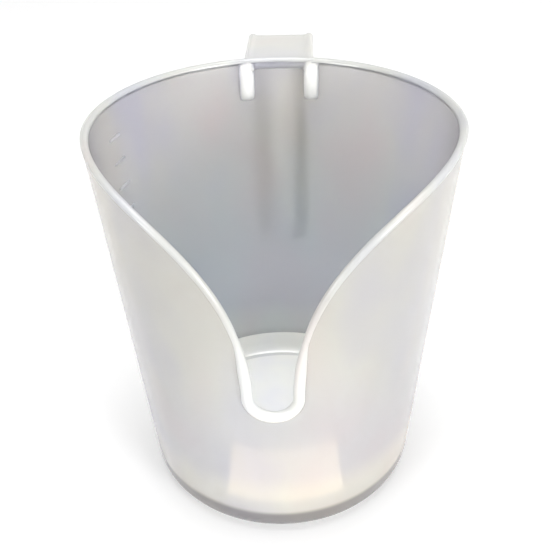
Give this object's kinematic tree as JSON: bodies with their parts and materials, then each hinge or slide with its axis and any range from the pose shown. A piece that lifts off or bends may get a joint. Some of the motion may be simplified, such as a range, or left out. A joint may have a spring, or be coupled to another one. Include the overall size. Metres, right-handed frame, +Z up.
{
  "type": "measuring cup",
  "caption": "Tapered translucent plastic measuring cup with a deep pouring notch in its front edge, an open-ended channel handle and raised graduation marks.",
  "frame": {"origin": "middle of the flat underside, on the table", "axes": "+Z up along the axis of the beaker; +Y from that axis towards the handle, so the pouring notch faces -Y; +X completes the right-handed frame"},
  "size_m": [0.1256, 0.1603, 0.1438],
  "materials": {
    "body": "satin, translucent natural polypropylene",
    "edge": "satin, translucent natural polypropylene, whiter where it is seen along the edge"
  },
  "bodies": {
    "root": {"cup_floor": "body", "cup_wall": "body", "spout_lip": "edge", "shoulder_edge_left": "edge", "shoulder_edge_right": "edge", "rim_bead": "edge", "handle_bridge": "body", "handle_grip": "body", "handle_flange_left": "body", "handle_flange_right": "body", "mark_0100_ml": "edge", "mark_0200_ml": "edge", "mark_0300_ml": "edge", "mark_0400_ml": "edge", "mark_0500_ml": "edge", "mark_0600_ml": "edge", "mark_0700_ml": "edge", "mark_0800_ml": "edge", "mark_0900_ml": "edge", "mark_1000_ml": "edge", "mark_1100_ml": "edge", "mark_1200_ml": "edge"}
  },
  "joints": []
}
